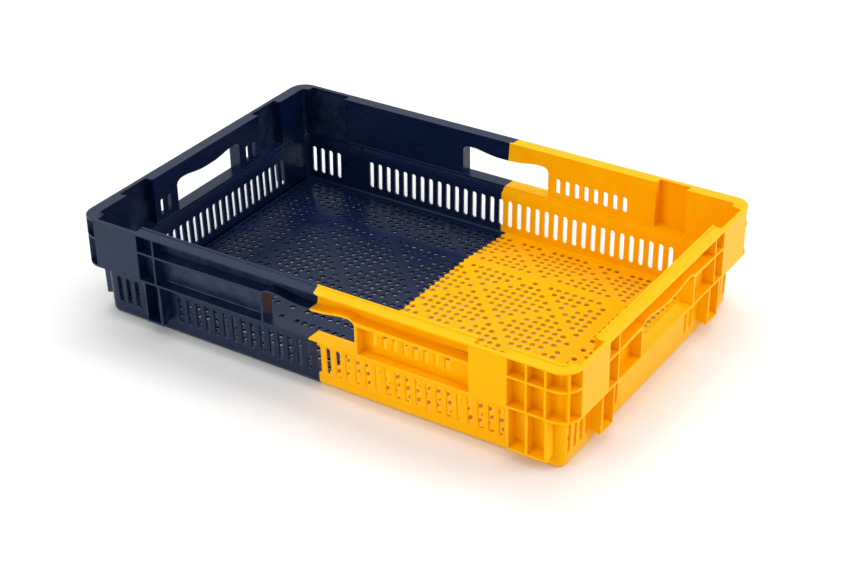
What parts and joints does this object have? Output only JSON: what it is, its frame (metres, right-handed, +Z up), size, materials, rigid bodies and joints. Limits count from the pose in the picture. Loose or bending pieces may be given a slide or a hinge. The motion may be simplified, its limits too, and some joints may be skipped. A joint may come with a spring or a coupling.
{
  "type": "stacking crate",
  "caption": "Shallow open-topped plastic crate in two fused colours, with a ribbed collar, hand holes, slotted walls and feet that stack or nest when turned.",
  "frame": {"origin": "centre of the base outline, on the surface the crate stands on", "axes": "+X along the long side towards the yellow half, +Y along the short side towards the back, +Z up"},
  "size_m": [0.6, 0.4, 0.1225],
  "materials": {
    "navy_plastic": "satin injection-moulded plastic, dark navy",
    "yellow_plastic": "satin injection-moulded plastic, warm yellow"
  },
  "bodies": {
    "root": {"navy_back_collar": "navy_plastic", "navy_back_end_foot": "navy_plastic", "navy_back_lower_wall": "navy_plastic", "navy_back_side_foot": "navy_plastic", "navy_end_collar": "navy_plastic", "navy_end_lower_wall": "navy_plastic", "navy_floor": "navy_plastic", "navy_front_collar": "navy_plastic", "navy_front_end_foot": "navy_plastic", "navy_front_lower_wall": "navy_plastic", "navy_front_side_foot": "navy_plastic", "yellow_back_collar": "yellow_plastic", "yellow_back_end_foot": "yellow_plastic", "yellow_back_lower_wall": "yellow_plastic", "yellow_back_side_foot": "yellow_plastic", "yellow_end_collar": "yellow_plastic", "yellow_end_lower_wall": "yellow_plastic", "yellow_floor": "yellow_plastic", "yellow_front_collar": "yellow_plastic", "yellow_front_end_foot": "yellow_plastic", "yellow_front_lower_wall": "yellow_plastic", "yellow_front_side_foot": "yellow_plastic"}
  },
  "joints": []
}
